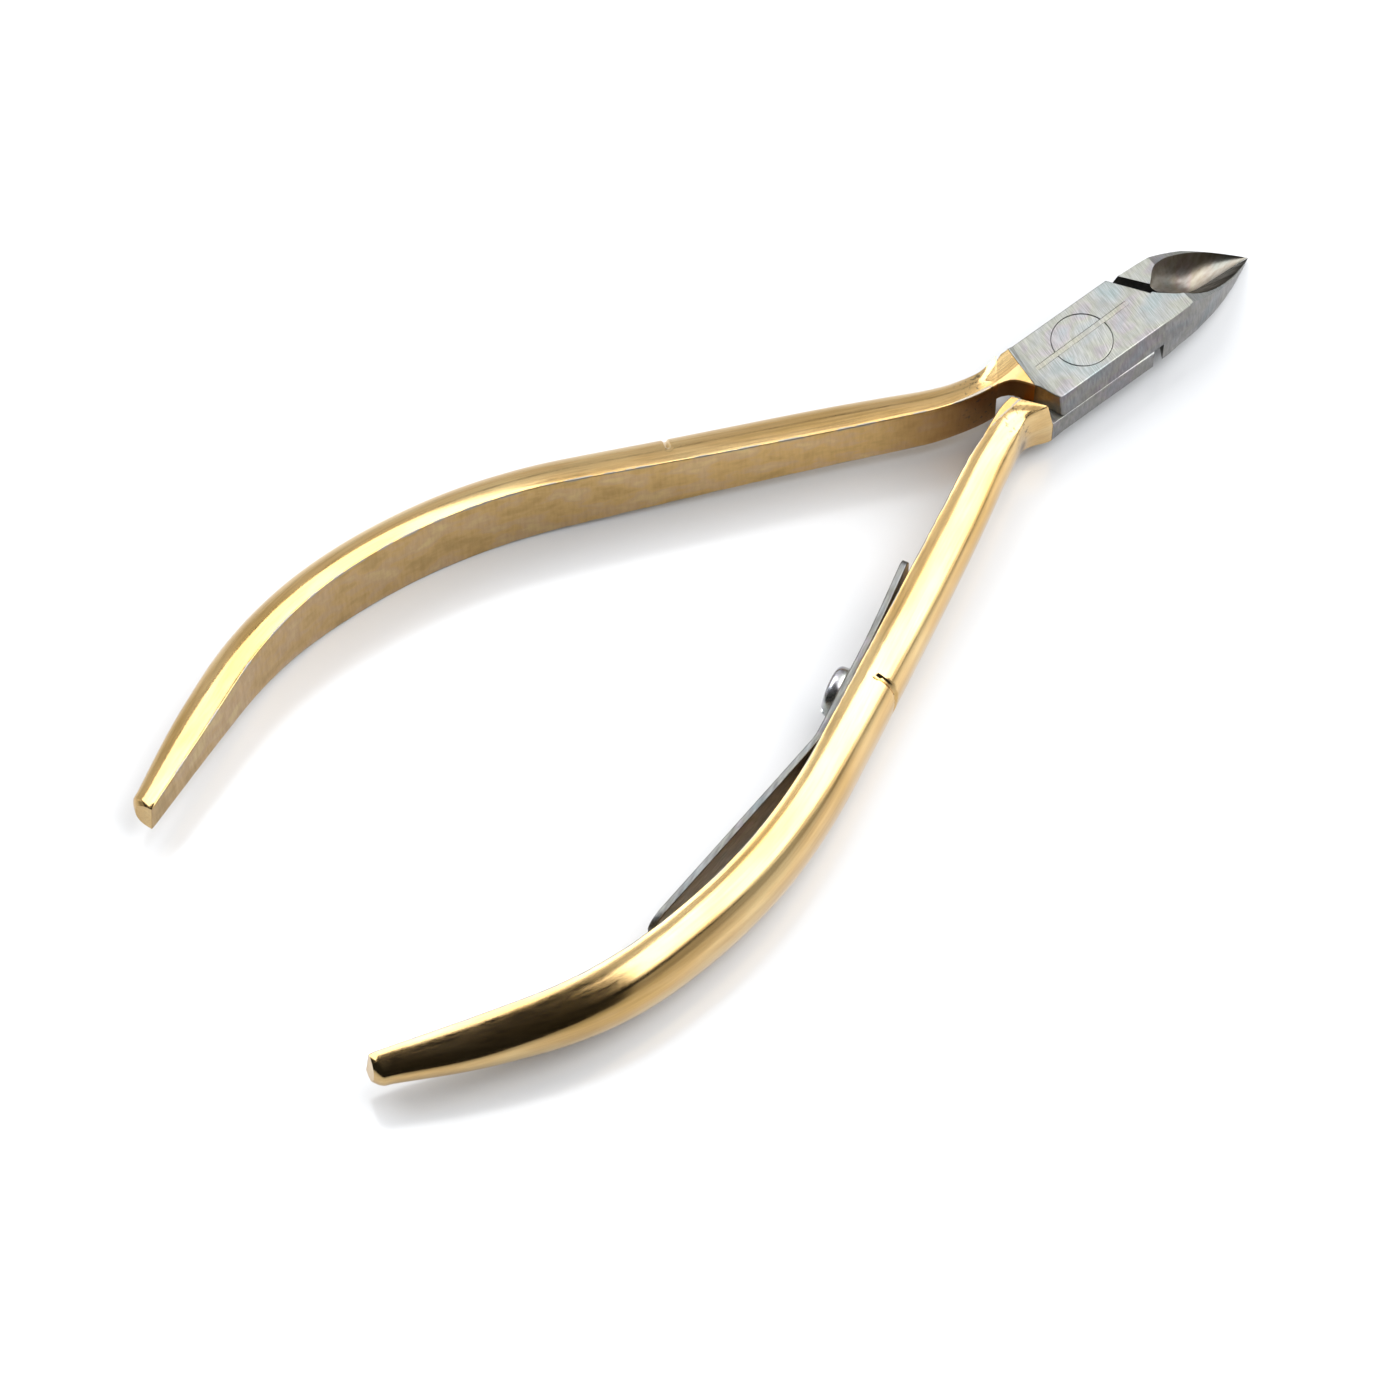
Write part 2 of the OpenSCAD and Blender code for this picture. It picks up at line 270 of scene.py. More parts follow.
def end_rings():
    """The handle's end: rings that shrink to a small flat facet, which leans a little upwards."""
    depth = along(SECTIONS, -HANDLE_END, 2)
    section = d_section(along(SECTIONS, -HANDLE_END, 1), depth)
    back = Vector((-1.0, -inner_slope(-HANDLE_END))).normalized()
    rings = []
    for i in range(END_RINGS, -1, -1):
        share = i / END_RINGS
        bend = share ** 1.8
        ring = handle_ring(-HANDLE_END, [
            (d * (1 - END_THINNER * bend), w * (1 - END_LOWER * bend)) for d, w in section])
        reach = [share * (END_BEVEL - 0.1 - END_LEAN * (z - LAP_Z)) for x, y, z in ring]
        rings.append([(x + back.x * r, y + back.y * r, z) for (x, y, z), r in zip(ring, reach)])
    return rings


ROOT_X = -12.6
ROOT_RINGS = 34
STATION_STEP, MARK_STEP, MARK_REACH = 0.7, 0.12, 1.2
HAND_WORK = 0.05
FILE_MARK_WIDTH, FILE_MARK_DEPTH = 0.24, 0.2


def bow_section(x, mark_x, mark_skew, seed):
    """The D at x, a little uneven from the buffing, with the file mark across its back."""
    height = along(SECTIONS, x, 1) + noise.noise(Vector((x * 0.09, seed, 0.0))) * HAND_WORK
    depth = along(SECTIONS, x, 2) + (noise.noise(Vector((x * 0.11, seed, 4.0))) - 0.7) * HAND_WORK
    core = depth * 0.3
    section = []
    for d, w in d_section(height, depth):
        # The file mark follows the back and stays off the flat face.
        turn = math.atan2(w, d - core)
        off = abs(x - mark_x - mark_skew * (turn - 0.9) ** 2) / FILE_MARK_WIDTH
        on_back = smooth((d - core) / 0.8) * smooth((turn + 0.65) / 0.5)
        cut = FILE_MARK_DEPTH * max(0.0, 1 - off ** 2) * on_back
        from_core = Vector((d - core, w))
        from_core *= 1 - cut / max(from_core.length, 0.1)
        section.append((from_core.x + core, from_core.y))
    return section


def root_rings(wall_y):
    """The root: the D turns into a block, narrows to a waist and flares to the wall's outer corner."""
    wall_in, wall_out = Vector((-8.1, wall_y)), Vector((-6.1, SIDE_Y))
    wall = (wall_out - wall_in).normalized()
    width = (wall_out - wall_in).length
    block = block_section(width, -GROUND_STEP, HEAD_TOP + GROUND_STEP)
    rings = []
    for i in range(ROOT_RINGS + 1):
        t = i / ROOT_RINGS
        x = ROOT_X + (wall_in.x - ROOT_X) * t
        square = smooth(t) ** 1.6
        flare = smooth((t - 0.45) / 0.55) ** 1.8
        out = Vector((-inner_slope(x), 1.0)).normalized().lerp(wall, smooth(t)).normalized()
        base = Vector((x, inner_y(x) + (wall_y - inner_y(wall_in.x)) * smooth(t)))
        depth = along(SECTIONS, x, 2)
        rounded = d_section(along(SECTIONS, x, 1), depth)
        ring = []
        for (d, w), (block_d, block_w) in zip(rounded, block):
            narrow = block_d * (depth + (width - depth) * flare) / width
            ring_d = d + (narrow - d) * square
            ring_w = w + (block_w - w) * square
            ring.append((base.x + out.x * ring_d, base.y + out.y * ring_d, LAP_Z + ring_w))
        rings.append(ring)
    return rings


def forge_handle(name, mirrored, wall_y, mark_x, mark_skew, seed):
    """One handle with its root: rings from the end to the slanted wall behind the other lever's plate."""
    rings = end_rings()
    x = -HANDLE_END + 0.5
    while x < ROOT_X:
        rings.append(handle_ring(x, bow_section(x, mark_x, mark_skew, seed)))
        x += MARK_STEP if abs(x - mark_x) < MARK_REACH else STATION_STEP
    return solid(name, *loft(rings + root_rings(wall_y)), mirrored)


# The rear of each plate, seen from above: the plating runs onto it as far as the ground steel.
REAR_CONTOUR = [
    (-8.05, 1.0), (-7.6, 0.92), (-7.09, 0.69), (-6.78, 0.42), (-6.53, 0.11), (-6.3, -0.25), (-6.09, -0.6),
]
PLATING_EDGE = {
    "upper": [(-5.88, -0.97), (-5.25, TOP_Y)],
    "lower": [(-6.05, -0.68), (-6.02, TOP_Y)],
}


def plate_tongue(name, mirrored, low, high):
    """The gold stretch of a plate between the root's wall and the ground steel."""
    inner, outer = PLATING_EDGE["lower" if mirrored else "upper"]
    plan = [
        (-8.7, 2.0), *REAR_CONTOUR, inner, (outer[0], outer[1] - 0.02), (-6.06, TOP_Y - 0.02), (-7.2, 2.6),
    ]
    rings = []
    levels = [(low, 0.05), (low + 0.05, 0.0), (high - 0.07, 0.0), (high - 0.02, 0.025), (high, 0.07)]
    for z, inset in levels:
        lean = 1 + (SIDE_Y / TOP_Y - 1) * min(1.0, (HEAD_TOP - z) / (HEAD_TOP - LAP_Z))
        ring = inset_outline([(x, y * lean if y > 0 else y) for x, y in plan], inset)
        rings.append([(x, y, z) for x, y in ring])
    return solid(name, *loft(rings), mirrored)


def inset_outline(outline, distance):
    """An outline drawn in by a distance, corner by corner."""
    if distance == 0:
        return outline
    area = sum(a[0] * b[1] - b[0] * a[1] for a, b in zip(outline, outline[1:] + outline[:1]))
    side = 1 if area > 0 else -1
    moved = []
    for i, here in enumerate(outline):
        before = Vector(here) - Vector(outline[i - 1])
        after = Vector(outline[(i + 1) % len(outline)]) - Vector(here)
        n1 = Vector((-before.y, before.x)).normalized() * side
        n2 = Vector((-after.y, after.x)).normalized() * side
        middle = n1 + n2
        moved.append(tuple(Vector(here) + middle * (distance / max(0.25, 1 + n1.dot(n2)))))
    return moved


EDGE_WEAR = 0.3


def mark_grain(piece, mirrored):
    """Stores the straightened place of each point, and how near it is to an edge of the flat face."""
    grain, edge = [], []
    for v in piece.data.vertices:
        x, y, z = v.co.x / MM, v.co.y / MM * (-1 if mirrored else 1), v.co.z / MM
        foot = x
        for _ in range(3):
            slope = inner_slope(foot)
            foot = x + slope * (y - inner_y(foot)) / (1 + slope * slope) * 0.9
        depth = (y - inner_y(foot)) / math.cos(math.atan(inner_slope(foot)))
        half = along(SECTIONS, max(-HANDLE_END, min(foot, -8)), 1) / 2
        grain += (foot * 1.08, z, depth)
        edge.append(max(0.0, 1 - math.hypot(depth, abs(z - LAP_Z) - half) / EDGE_WEAR))
    piece.data.attributes.new("grain", "FLOAT_VECTOR", "POINT").data.foreach_set("vector", grain)
    piece.data.attributes.new("edge", "FLOAT", "POINT").data.foreach_set("value", edge)


def node(tree, kind, sockets=None, **settings):
    """Adds a shader node, fills or joins its sockets, and returns its first shown output."""
    made = tree.nodes.new("ShaderNode" + kind)
    for key, value in settings.items():
        setattr(made, key, value)
    for key, value in (sockets or {}).items():
        if isinstance(value, bpy.types.NodeSocket):
            tree.links.new(value, made.inputs[key])
        else:
            made.inputs[key].default_value = value
    return next(out for out in made.outputs if out.enabled)


def ramp(tree, source, *stops):
    """A colour ramp; each stop is a place and a grey or a colour."""
    made = tree.nodes.new("ShaderNodeValToRGB")
    elements = made.color_ramp.elements
    while len(elements) > 1:
        elements.remove(elements[-1])
    for i, (place, shade) in enumerate(stops):
        element = elements[0] if i == 0 else elements.new(place)
        element.position = place
        element.color = (*shade, 1) if isinstance(shade, tuple) else (shade, shade, shade, 1)
    tree.links.new(source, made.inputs["Fac"])
    return made.outputs["Color"]


def blend(tree, share, a, b, how="MIX"):
    return node(tree, "Mix", {"Factor": share, "A": a, "B": b}, data_type="RGBA", blend_type=how)


def calculate(tree, operation, a, b):
    return node(tree, "Math", {0: a, 1: b}, operation=operation)


def noise_field(tree, place, scale, detail, turn=0.0, shift=0.0):
    """Noise stretched and turned over a place."""
    moved = node(tree, "Mapping", {
        "Vector": place, "Location": (shift, shift, shift), "Rotation": (0, 0, turn), "Scale": scale})
    return node(tree, "TexNoise", {"Vector": moved, "Scale": 1.0, "Detail": detail, "Roughness": 0.55})


def new_group(name, inputs, outputs):
    """A shader node group with named inputs and outputs."""
    tree = bpy.data.node_groups.new(name, "ShaderNodeTree")
    for socket, kind in inputs:
        tree.interface.new_socket(socket, in_out="INPUT", socket_type="NodeSocket" + kind)
    for socket, kind in outputs:
        tree.interface.new_socket(socket, in_out="OUTPUT", socket_type="NodeSocket" + kind)
    return tree, tree.nodes.new("NodeGroupInput").outputs, tree.nodes.new("NodeGroupOutput").inputs


def metal_material(name, finish, sockets, bump_height):
    """A metal whose colour, roughness and surface come from a finish group and its inputs."""
    material = bpy.data.materials.new(name)
    material.use_nodes = True
    tree = material.node_tree
    shader = tree.nodes["Principled BSDF"]
    shader.inputs["Metallic"].default_value = 1.0
    made = tree.nodes.new("ShaderNodeGroup")
    made.node_tree = finish
    for key, value in sockets(tree).items():
        if isinstance(value, bpy.types.NodeSocket):
            tree.links.new(value, made.inputs[key])
        else:
            made.inputs[key].default_value = value
    tree.links.new(made.outputs["Color"], shader.inputs["Base Color"])
    tree.links.new(made.outputs["Roughness"], shader.inputs["Roughness"])
    bump = tree.nodes.new("ShaderNodeBump")
    bump.inputs["Strength"].default_value = 0.4
    bump.inputs["Distance"].default_value = bump_height
    tree.links.new(made.outputs["Height"], bump.inputs["Height"])
    tree.links.new(bump.outputs["Normal"], shader.inputs["Normal"])
    return material


def plating_finish():
    """Gold plating over buffed steel: buffed back, filed flat face, worn edges and pits at the root, with
    painted light and shade along the flat face and painted shade near the root.
    """
    tree, given, result = new_group(
        "gold_plating", [("Grain", "Vector"), ("Edge", "Float"), ("Seed", "Float")],
        [("Color", "Color"), ("Roughness", "Float"), ("Height", "Float")])
    seed = node(tree, "CombineXYZ", {"X": given["Seed"], "Y": given["Seed"], "Z": given["Seed"]})
    place = node(tree, "VectorMath", {0: given["Grain"], 1: seed}, operation="ADD")
    parts = node(tree, "SeparateXYZ", {"Vector": given["Grain"]}).node.outputs
    flat = node(tree, "MapRange", {
        "Value": parts["Z"], "From Min": 0.03, "From Max": 0.1, "To Min": 1.0, "To Max": 0.0})
    clouds = noise_field(tree, place, (0.08, 0.3, 0.3), 3.0)
    drawn = noise_field(tree, place, (0.1, 5.0, 5.0), 4.0)
    fine = noise_field(tree, place, (0.4, 22.0, 22.0), 2.0, shift=7.0)
    brushed = noise_field(tree, place, (3.6, 0.5, 0.6), 4.0, turn=0.9)
    patches = noise_field(tree, place, (0.3, 0.5, 0.5), 3.0, shift=19.0)

    back = ramp(tree, clouds, (0.36, (0.54, 0.35, 0.13)), (0.5, (0.595, 0.4, 0.175)),
                (0.66, (0.66, 0.48, 0.23)))
    back = blend(tree, 1.0, back, ramp(tree, drawn, (0.35, 0.86), (0.6, 1.0)), "MULTIPLY")
    face = ramp(tree, patches, (0.34, (0.44, 0.285, 0.1)),
                (0.47, (0.53, 0.345, 0.13)), (0.56, (0.5, 0.335, 0.17)), (0.68, (0.57, 0.41, 0.185)))
    face = blend(tree, 1.0, face, ramp(tree, brushed, (0.34, 0.96), (0.62, 1.03)), "MULTIPLY")
    # Painted light along the flat face: by its share of the way from the handle's end to the joint, the face
    # is darkened towards the end and lightened towards the joint.
    along_handle = node(tree, "MapRange", {"Value": parts["X"], "From Min": -88.0, "From Max": -8.0})
    painted_light_along_face = ramp(tree, along_handle, (0.0, 0.74), (0.35, 0.84), (0.65, 1.08), (0.84, 1.22))
    face = blend(tree, 1.0, face, painted_light_along_face, "MULTIPLY")
    # Painted shade: near the root, below the top, the flat face is blended towards a dark brown.
    under_top = node(tree, "MapRange", {
        "Value": parts["Y"], "From Min": 4.5, "From Max": 4.75, "To Min": 1.0, "To Max": 0.0})
    painted_root_shade = calculate(tree, "MULTIPLY", ramp(tree, along_handle, (0.86, 0.0), (0.97, 0.9)), under_top)
    face = blend(tree, painted_root_shade, face, (0.36, 0.18, 0.05, 1))
    colour = blend(tree, flat, back, face)
    worn = calculate(tree, "MULTIPLY", given["Edge"], ramp(
        tree, noise_field(tree, place, (0.5, 2.0, 2.0), 4.0, shift=23.0), (0.36, 0.25), (0.56, 1.0)))
    worn = ramp(tree, worn, (0.42, 0.0), (0.62, 0.85))
    colour = blend(tree, worn, colour, (0.3, 0.295, 0.27, 1))
    root = node(tree, "MapRange", {"Value": parts["X"], "From Min": -16.0, "From Max": -6.0})
    root = ramp(tree, root, (0.3, 0.0), (0.5, 1.0), (0.68, 1.0), (0.8, 0.0))
    pits = ramp(tree, noise_field(tree, place, (2.6, 2.6, 2.6), 4.0, shift=41.0), (0.6, 0.0), (0.66, 0.8))
    colour = blend(tree, calculate(tree, "MULTIPLY", root, pits), colour, (0.13, 0.1, 0.06, 1))
    tree.links.new(colour, result["Color"])

    gloss = ramp(tree, calculate(tree, "ADD", drawn, fine), (0.8, 0.09), (1.2, 0.16))
    gloss = blend(tree, flat, gloss, ramp(tree, brushed, (0.3, 0.44), (0.7, 0.3)))
    tree.links.new(blend(tree, worn, gloss, (0.4, 0.4, 0.4, 1)), result["Roughness"])
    lines = calculate(tree, "MULTIPLY", drawn, 0.3)
    scratches = calculate(tree, "MULTIPLY", fine, 0.25)
    filing = calculate(tree, "MULTIPLY", calculate(tree, "MULTIPLY", brushed, flat), 0.5)
    relief = calculate(tree, "ADD", calculate(tree, "ADD", lines, scratches), filing)
    tree.links.new(relief, result["Height"])
    return tree


def handle_place(seed):
    return lambda tree: {
        "Grain": node(tree, "Attribute", attribute_name="grain").node.outputs["Vector"],
        "Edge": node(tree, "Attribute", attribute_name="edge").node.outputs["Fac"],
        "Seed": seed,
    }


gold_plating = plating_finish()
plating = {
    "upper": metal_material("gold_plating_upper", gold_plating, handle_place(1.0), 0.00001),
    "lower": metal_material("gold_plating_lower", gold_plating, handle_place(40.0), 0.00001),
}

upper_handle = forge_handle("upper_handle", False, 1.05, -33.1, 0.0, 2.0)
combine(upper_handle, plate_tongue("tongue", False, LAP_Z + LAP_GAP, HEAD_TOP + GROUND_STEP - 0.002), "UNION")
lower_handle = forge_handle("lower_handle", True, 0.55, -33.9, -0.45, 7.0)
combine(lower_handle, plate_tongue("tongue", True, 0.002 - GROUND_STEP, LAP_Z - LAP_GAP), "UNION")

# ---------------------------------------------------------------------------
# The spring's screw hole in the lower handle, tapped square to the flat face.
# ---------------------------------------------------------------------------
SCREW_X = 35.0
SCREW_R = 1.0
SCREW_DEPTH = 2.6


def at_screw(u, v, w):
    """A point u along the handle towards the joint, v off its inner face and w up, from the screw."""
    foot = Vector((-SCREW_X, -inner_y(-SCREW_X), LAP_Z))
    run = Vector((math.cos(FRONT_ANGLE), math.sin(FRONT_ANGLE), 0))
    off = Vector((-math.sin(FRONT_ANGLE), math.cos(FRONT_ANGLE), 0))
    return tuple(foot + run * u + off * v + Vector((0, 0, w)))


def turned(profile, place, count=64):
    """A turned shape: each (radius, distance along the axis) of the profile becomes a ring."""
    return [
        [
            place(r * math.cos(2 * math.pi * j / count), d, r * math.sin(2 * math.pi * j / count))
            for j in range(count)
        ]
        for r, d in profile
    ]


screw_hole = solid(
    "screw_hole", *loft(turned([(SCREW_R + 0.02, -SCREW_DEPTH - 0.03), (SCREW_R + 0.02, 0.6)], at_screw)))
combine(lower_handle, screw_hole, "DIFFERENCE")
for piece, mirrored, side in ((upper_handle, False, "upper"), (lower_handle, True, "lower")):
    soften(piece, 21)
    mark_grain(piece, mirrored)
    piece.data.materials.clear()
    piece.data.materials.append(plating[side])

# ---------------------------------------------------------------------------
# The two heads: plates of the lap joint, and the jaws.
# Bare steel, ground after plating on flats, sides and brow, and hollowed out
# with a small wheel above the cutting edges.
# ---------------------------------------------------------------------------
TIP_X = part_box("upper_lever")[1].x / MM
TIP_DROP = 1.2
BELLY_X = 7.0
BROW_X = 9.4
BROW_SLOPE = (HEAD_TOP + TIP_DROP) / (TIP_X - BROW_X)
JAW_Y = 3.35
JAW_ARC_X = 6.5
JAW_RADIUS = ((TIP_X - JAW_ARC_X) ** 2 + JAW_Y ** 2) / (2 * JAW_Y)
BITE = 0.02


def belly_z(x):
    run = max(0.0, x - BELLY_X)
    return -TIP_DROP * run / (TIP_X - BELLY_X)


# How far the wheel's run-out stands above the ground flat, at corners of a plate's plan.
RUN_OUT = {14: 0.05, 15: 0.14, 16: GROUND_STEP, 17: GROUND_STEP, 0: GROUND_STEP}


def plate(name, upper):
    """A plate of the lap joint, from the plating's edge to the jaw."""
    edge = PLATING_EDGE["upper" if upper else "lower"]
    front = 5.28 if upper else 4.88
    plan = [
        edge[1], (-4.75, TOP_Y), (0.0, TOP_Y), (front, TOP_Y), (front + 1.02, 1.5), (front + 2.02, -0.1),
        (7.75, -BITE), (9.0, -BITE), (9.0, -TOP_Y + 0.02), (4.0, -TOP_Y), (-4.6, -TOP_Y), (-4.88, -3.05),
        (-5.0, -2.95), (-5.16, -2.62), (-5.33, -2.18), (-5.5, -1.75), (-5.67, -1.34), edge[0],
    ]
    low, high = (LAP_Z + LAP_GAP, HEAD_TOP) if upper else (0.0, LAP_Z - LAP_GAP)
    rings = []
    under, over = (0.03, 0.08) if upper else (0.08, 0.03)
    levels = [(low, under), (low + under * 0.3, under * 0.3), (low + under, 0.0), (high - over, 0.0),
              (high - over * 0.3, over * 0.3), (high, over)]
    for z, inset in levels:
        grow = SIDE_Y / TOP_Y if z < LAP_Z else 1 + (SIDE_Y / TOP_Y - 1) * (HEAD_TOP - z) / (HEAD_TOP - LAP_Z)
        outline = inset_outline([(x, y * grow if abs(y) > 2.9 else y) for x, y in plan], inset)
        ring = []
        for k, (x, y) in enumerate(outline):
            rise = RUN_OUT.get(k, 0.0)
            if upper and z > LAP_Z + 1:
                ring.append((x, y, z + rise))
            elif not upper and z < LAP_Z - 1:
                ring.append((x, y, z - rise))
            else:
                ring.append((x, y, z))
        rings.append(ring)
    points, faces = loft(rings)
    # The ground face is flat up to a fold between two corners, and the run-out fans out from there.
    n = len(plan)
    first = (len(rings) - 1) * n if upper else 0
    faces.pop(-1 if upper else -2)
    faces.append([first + k for k in range(1, 14)])
    faces += [(first + 1, first + k, first + (k + 1) % n) for k in range(13, n)]
    return solid(name, points, faces, not upper)


def jaw(name, upper):
    """One jaw, lofted from the slanted shoulder to the point."""
    lean = 0.2 if upper else 0.62
    plate_lean = SIDE_Y - TOP_Y
    rings = []
    count = 84
    for i in range(count + 1):
        t = i / count
        outer_x = 5.9 + (TIP_X - 5.9) * t
        inner_x = 8.2 + (TIP_X - 8.2) * t
        fall = max(0.0, outer_x - JAW_ARC_X)
        side = JAW_Y - (JAW_RADIUS - math.sqrt(JAW_RADIUS ** 2 - fall ** 2))
        side = max(side, 0.015 + BITE)
        start = 1 - smooth((outer_x - 5.9) / 2.4) if upper else 0.0
        side += (SIDE_Y - JAW_Y) * (start if upper else 0.3 * max(0.0, 1 - (outer_x - 5.9) / 1.1))
        reach = side - BITE
        z_low = belly_z((outer_x + inner_x) / 2)
        top_share = min(0.5, (lean + (plate_lean - lean) * start) / max(side, 0.1)) * smooth(reach / 1.5)
        corner = min(0.3, reach * 0.3)

        def at(share, z):
            return (outer_x + (inner_x - outer_x) * share, -(side - reach * share), z)

        ring = [at(corner / reach + (1 - corner / reach) * k / 8, z_low) for k in range(9)]
        ring += [at(1.0, z_low + (HEAD_TOP - z_low) * k / 5) for k in range(1, 6)]
        ring += [at(1.0 - (1.0 - top_share) * k / 8, HEAD_TOP) for k in range(1, 9)]
        ring += [at(top_share * (1 - k / 6), HEAD_TOP - (HEAD_TOP - LAP_Z) * k / 6) for k in range(1, 7)]
        ring += [at(0.0, LAP_Z - (LAP_Z - z_low - corner) * k / 4) for k in range(1, 5)]
        ring += [
            at(corner / reach * (1 - math.cos(a)), z_low + corner * (1 - math.sin(a)))
            for a in (math.radians(30), math.radians(60))
        ]
        rings.append(ring)
    points, faces = loft(rings)
    return solid(name, points, faces, not upper)


def brow_cutter():
    """Everything above the sloping brow."""
    def on_brow(x):
        return HEAD_TOP - (x - BROW_X) * BROW_SLOPE
    section = [
        (BROW_X - 0.05, HEAD_TOP + 0.01), (BROW_X + 0.06, on_brow(BROW_X + 0.06)),
        (TIP_X + 1, on_brow(TIP_X + 1)), (TIP_X + 1, HEAD_TOP + 3), (BROW_X - 0.05, HEAD_TOP + 3),
    ]
    return solid("brow_cutter", *loft([[(x, y, z) for x, z in section] for y in (-6.0, 6.0)]))


# Distance from the pivot, half widths of the hollow on the near and far side, and height of its floor.
HOLLOW = [
    (7.42, 0.06, 0.06, 4.5), (7.7, 0.45, 0.45, 4.15), (8.2, 0.9, 0.88, 3.75), (9.0, 1.6, 1.55, 2.95),
    (10.0, 2.12, 1.92, 1.75), (11.0, 2.32, 2.14, 0.72), (12.0, 2.33, 2.17, -0.02), (13.0, 2.18, 2.12, -0.42),
    (14.0, 1.95, 1.97, -0.6), (15.5, 1.46, 1.55, -0.77), (17.0, 0.83, 0.86, -0.94), (18.2, 0.26, 0.26, -1.1),
    (18.66, 0.03, 0.03, -1.17),
]


def hollow_cutter():
    rings = []
    count = 90
    sides = 56
    for i in range(count + 1):
        x = HOLLOW[0][0] + (HOLLOW[-1][0] - HOLLOW[0][0]) * i / count
        near, far, floor = (along(HOLLOW, x, k) for k in (1, 2, 3))
        rim = min(HEAD_TOP, HEAD_TOP - (x - BROW_X) * BROW_SLOPE)
        deep = max(0.02, rim - floor)
        ring = []
        for j in range(sides + 1):
            turn = math.pi * j / sides
            c, s = math.cos(turn), math.sin(turn)
            half = far if c > 0 else near
            chatter = 0.012 * noise.noise(Vector((x * 6.0, j * 0.15, 2.0)))
            ring.append((
                x, math.copysign(abs(c) ** 0.86, c) * half * (1 + chatter),
                rim - deep * s ** 0.92,
            ))
        ring += [(x, -near, rim + 1.5), (x, far, rim + 1.5)]
        rings.append(ring)
    return solid("hollow_cutter", *loft(rings))


STRIP_LENGTH, STRIP_WIDTH, STRIP_DEPTH = 10.0, 0.42, 0.8
STRIP_PLACE, STRIP_TILT = Vector((0.3, 0.31)), math.radians(0.9)


def strip_outline(grow):
    half, r = STRIP_LENGTH / 2, STRIP_WIDTH / 2 + grow
    flat = corner_arc(half - r, 0, r, -90, 90, 9) + corner_arc(-half + r, 0, r, 90, 270, 9)
    turn = Matrix.Rotation(STRIP_TILT, 2)
    return [tuple(turn @ Vector(p) + STRIP_PLACE) for p in flat]


def run_out():
    """The bevel that widens along the lower plate's outer edge towards the jaw."""
    rings = []
    for x, size in ((0.8, 0.01), (5.4, 0.34)):
        y, z = -SIDE_Y, LAP_Z - LAP_GAP
        foot = z - size * 0.8
        rings.append([
            (x, y - 0.2, z + 0.2), (x, y + size, z + 0.02), (x, y + size, z), (x, y - 0.02, foot),
            (x, y - 0.2, foot),
        ])
    return solid("run_out", *loft(rings))


def strip_groove():
    """The groove's cutter: a little wider than the strip, with its mouth broken."""
    levels = [
        (HEAD_TOP - STRIP_DEPTH - 0.02, 0.018), (HEAD_TOP - 0.02, 0.018), (HEAD_TOP + 0.002, 0.031),
        (HEAD_TOP + 1, 0.031),
    ]
    return solid("strip_groove", *loft([[(x, y, z) for x, y in strip_outline(grow)] for z, grow in levels]))


def upright(x, z, y):
    """A place about the pivot's axis, for a turned shape."""
    return (x, y, z)


RIVET_R, BEARING_R = 2.5, 2.0
FOOT_R, FOOT_H = 2.6, 0.8


def ground_finish():
    """Ground steel: grinding lines one way, darker stains, a faint straw and blue cast."""
    tree, given, result = new_group(
        "ground_steel", [("Position", "Vector"), ("Turn", "Float"), ("Pitch", "Vector"), ("Dark", "Color"),
                         ("Pale", "Color"), ("Polish", "Float")],
        [("Color", "Color"), ("Roughness", "Float"), ("Height", "Float")])
    place = node(tree, "VectorMath", {"Vector": given["Position"], "Scale": 1 / MM}, operation="SCALE")
    across = node(
        tree, "VectorRotate", {"Vector": place, "Angle": given["Turn"]}, rotation_type="AXIS_ANGLE")
    across = node(tree, "VectorMath", {0: across, 1: given["Pitch"]}, operation="MULTIPLY")
    lines = noise_field(tree, across, (1.0, 1.0, 1.0), 5.0)
    marks = noise_field(tree, across, (0.37, 0.6, 0.6), 3.0, turn=0.12, shift=31.0)
    stain = noise_field(tree, place, (0.55, 0.55, 0.55), 3.0, shift=9.0)
    hue = noise_field(tree, place, (0.3, 0.4, 0.4), 2.0, shift=57.0)
    colour = blend(tree, ramp(tree, lines, (0.34, 0.0), (0.64, 1.0)), given["Dark"], given["Pale"])
    colour = blend(tree, ramp(tree, stain, (0.5, 0.0), (0.68, 0.55)), colour, given["Dark"])
    cast = ramp(tree, hue, (0.3, (0.84, 0.97, 0.98)), (0.43, (1.0, 1.0, 0.98)), (0.55, (1.0, 0.99, 0.86)),
                (0.62, (1.0, 0.9, 0.93)), (0.72, (0.9, 0.95, 1.0)))
    colour = blend(tree, 0.85, colour, cast, "MULTIPLY")
    tree.links.new(colour, result["Color"])
    spread = ramp(tree, marks, (0.32, -0.06), (0.68, 0.1))
    tree.links.new(calculate(tree, "ADD", given["Polish"], spread), result["Roughness"])
    tree.links.new(calculate(tree, "ADD", lines, calculate(tree, "MULTIPLY", marks, 1.5)), result["Height"])
    return tree


def ground(dark, pale, polish, pitch, turn):
    return lambda tree: {
        "Position": node(tree, "TexCoord").node.outputs["Object"],
        "Turn": turn, "Pitch": pitch, "Dark": (*dark, 1), "Pale": (*pale, 1), "Polish": polish,
    }


def darken_sides(head):
    """The coarser grinding of a head's sides, on every plain face that stands up, with painted shade: these
    faces get a darker steel than the top.
    """
    head.data.materials.append(coarse_shaded_side_steel)
    for face in head.data.polygons:
        if face.material_index == 0 and abs(face.normal.z) < 0.35:
            face.material_index = 2


